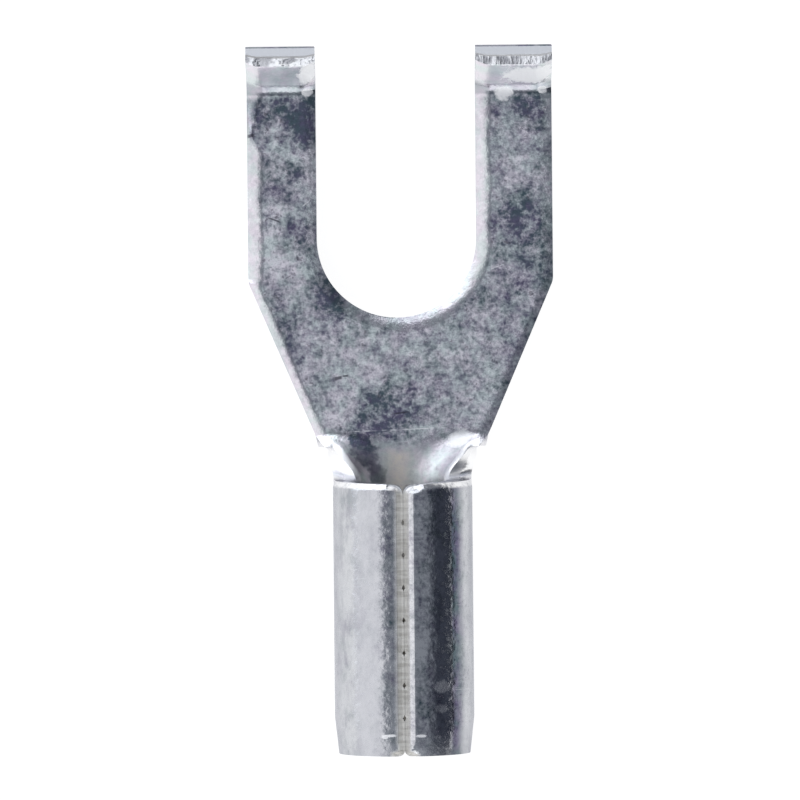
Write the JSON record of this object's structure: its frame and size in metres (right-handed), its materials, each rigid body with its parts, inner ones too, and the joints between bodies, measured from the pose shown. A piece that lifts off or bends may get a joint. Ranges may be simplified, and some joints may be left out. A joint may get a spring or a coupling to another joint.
{
  "type": "fork terminal",
  "caption": "Flanged fork terminal stamped and rolled from one tinned sheet, with an open stud slot, turned-up tips, a curled neck and a butted barrel for crimping a wire.",
  "frame": {"origin": "centre of the stud at the round end of the slot, level with the tongue's underside", "axes": "+Y towards the tips of the tines, -Y out of the barrel's rear end, +Z out of the seam side, so the part lies on its back on z = 0"},
  "size_m": [0.0082, 0.0189, 0.0037],
  "materials": {
    "tinned_copper": "satin tin plating over copper, mottled and finely scratched"
  },
  "bodies": {
    "root": {"fork_terminal": "tinned_copper"}
  },
  "joints": []
}
